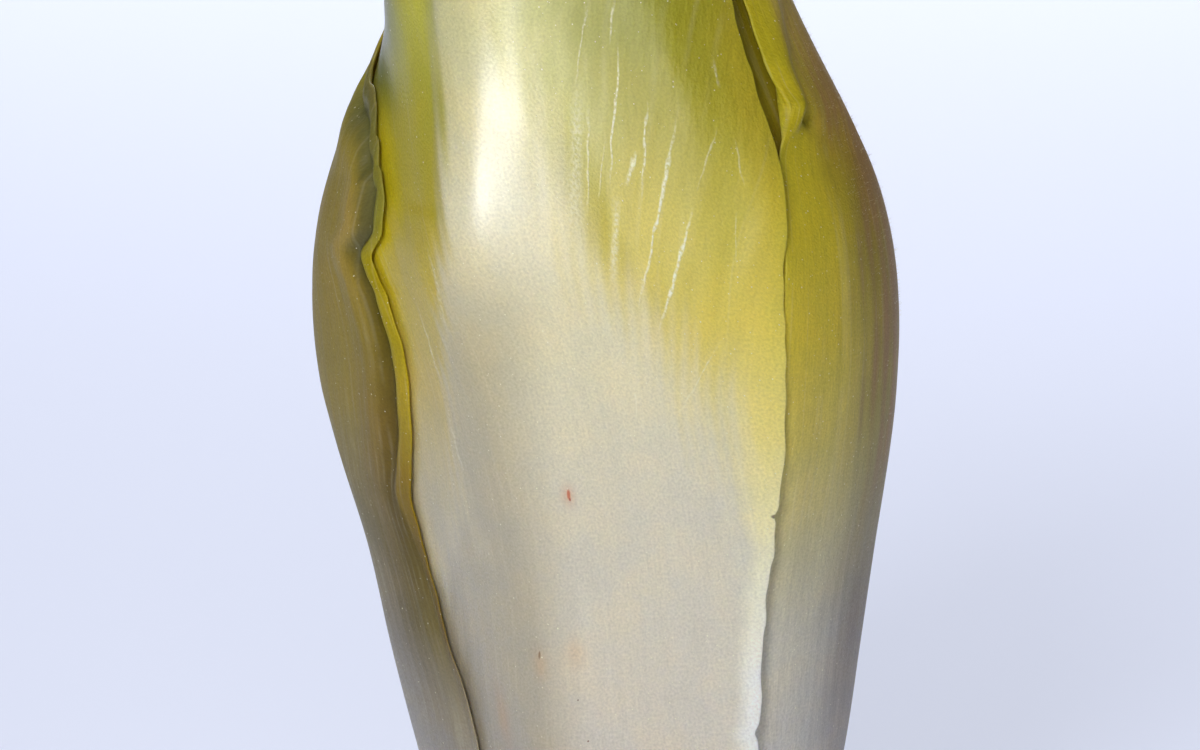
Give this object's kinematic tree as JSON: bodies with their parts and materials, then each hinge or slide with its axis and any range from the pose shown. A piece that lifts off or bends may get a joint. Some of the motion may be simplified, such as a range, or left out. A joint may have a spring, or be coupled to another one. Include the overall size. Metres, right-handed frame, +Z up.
{
  "type": "belgian endive",
  "caption": "Whole belgian endive head of tightly wrapped pale leaves with yellow-green edges, standing upright on its flat cut base.",
  "frame": {"origin": "centre of the flat cut face that the head stands on", "axes": "+Z up the head to its tip, -Y out of the front (the widest midrib), +X to its right"},
  "size_m": [0.0583, 0.0535, 0.149],
  "materials": {
    "outer_leaf": "waxy, moist leaf: white fleshy midrib, yellow-green blade",
    "inner_leaf": "tender waxy leaf, cream midrib, bright yellow blade",
    "stem_flesh": "cut stem flesh, damp, cream with a tan ring"
  },
  "bodies": {
    "root": {"stem_core": "stem_flesh", "heart_bud": "inner_leaf", "outer_leaf_left": "outer_leaf", "outer_leaf_front": "outer_leaf", "outer_leaf_right": "outer_leaf", "inner_leaf_04": "inner_leaf", "inner_leaf_05": "inner_leaf", "inner_leaf_06": "inner_leaf", "inner_leaf_07": "inner_leaf", "inner_leaf_08": "inner_leaf", "inner_leaf_09": "inner_leaf", "inner_leaf_10": "inner_leaf", "inner_leaf_11": "inner_leaf", "inner_leaf_12": "inner_leaf", "inner_leaf_13": "inner_leaf", "inner_leaf_14": "inner_leaf", "inner_leaf_15": "inner_leaf", "inner_leaf_16": "inner_leaf", "inner_leaf_17": "inner_leaf", "inner_leaf_18": "inner_leaf"}
  },
  "joints": []
}
